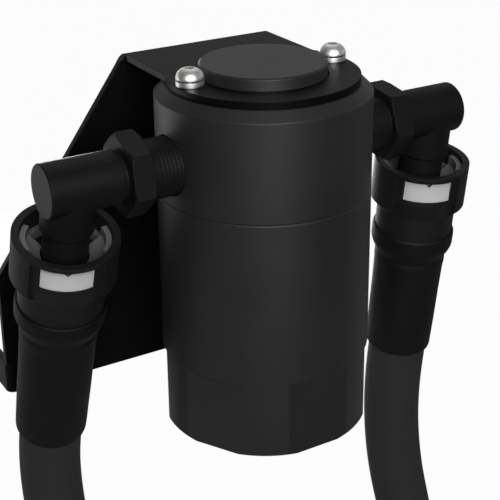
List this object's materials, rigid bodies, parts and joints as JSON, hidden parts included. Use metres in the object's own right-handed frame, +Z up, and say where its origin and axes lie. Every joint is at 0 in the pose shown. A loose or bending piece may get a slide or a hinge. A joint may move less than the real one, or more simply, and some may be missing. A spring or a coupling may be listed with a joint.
{
  "type": "oil catch can",
  "caption": "Oil catch can with a screw-off cup on a folded steel bracket, with two elbows, quick couplings and sleeved rubber hoses ending in the same couplings.",
  "frame": {"origin": "midway between the bracket's two mounting holes, on the back face that meets the car", "axes": "+Y out of the bracket's back face towards the car, +Z up along the can, +X towards the outlet"},
  "size_m": [0.2047, 0.1158, 0.3824],
  "materials": {
    "anodised_aluminium": "satin black anodised",
    "bracket_coating": "satin black powder coat",
    "stainless_steel": "plain stainless",
    "black_fitting": "smooth black anodised",
    "natural_aluminium": "as machined",
    "mesh_wire": "knitted wire",
    "coupling_plastic": "moulded black",
    "retainer_plastic": "moulded grey",
    "seal_rubber": "moulded black",
    "sleeve_shrink": "shrunk black tubing",
    "hose_rubber": "matte black"
  },
  "bodies": {
    "can": {"can_head": "anodised_aluminium", "baffle_plate": "natural_aluminium", "mesh_pad": "mesh_wire", "drop_tube": "natural_aluminium", "baffle_screw": "stainless_steel", "bracket": "bracket_coating", "bracket_screws": "stainless_steel", "bracket_washers": "stainless_steel", "inlet_elbow": "black_fitting", "inlet_stem": "black_fitting", "outlet_elbow": "black_fitting", "outlet_stem": "black_fitting"},
    "seal": {"cup_seal": "seal_rubber"},
    "cup": {"can_cup": "anodised_aluminium"},
    "inlet_line": {"inlet_coupling": "coupling_plastic", "inlet_retainer": "retainer_plastic", "inlet_seals": "seal_rubber", "inlet_sleeve": "sleeve_shrink", "inlet_hose": "hose_rubber", "inlet_end_coupling": "coupling_plastic", "inlet_end_retainer": "retainer_plastic", "inlet_end_seals": "seal_rubber", "inlet_end_sleeve": "sleeve_shrink"},
    "outlet_line": {"outlet_coupling": "coupling_plastic", "outlet_retainer": "retainer_plastic", "outlet_seals": "seal_rubber", "outlet_sleeve": "sleeve_shrink", "outlet_hose": "hose_rubber", "outlet_end_coupling": "coupling_plastic", "outlet_end_retainer": "retainer_plastic", "outlet_end_seals": "seal_rubber", "outlet_end_sleeve": "sleeve_shrink"}
  },
  "joints": [
    {"name": "cup_drop", "type": "slide", "parent": "can", "child": "seal", "axis": [0, 0, -1], "range_m": [0, 0.012]},
    {"name": "cup_turn", "type": "hinge", "parent": "seal", "child": "cup", "pos_m": [-0.005, -0.0514, 0.034], "axis": [0, 0, -1], "range_deg": [0, 2160]},
    {"name": "inlet_swivel", "type": "hinge", "parent": "can", "child": "inlet_line", "pos_m": [-0.0781, -0.0514, 0.0484], "axis": [0, 0.3156, -0.9489], "range_deg": [-30, 30]},
    {"name": "outlet_swivel", "type": "hinge", "parent": "can", "child": "outlet_line", "pos_m": [0.0681, -0.0514, 0.0484], "axis": [0, 0.1323, -0.9912], "range_deg": [-30, 30]}
  ],
  "couplings": [
    {"joint": "cup_drop", "follows": "cup_turn", "m_per_rad": 0.00031831}
  ]
}
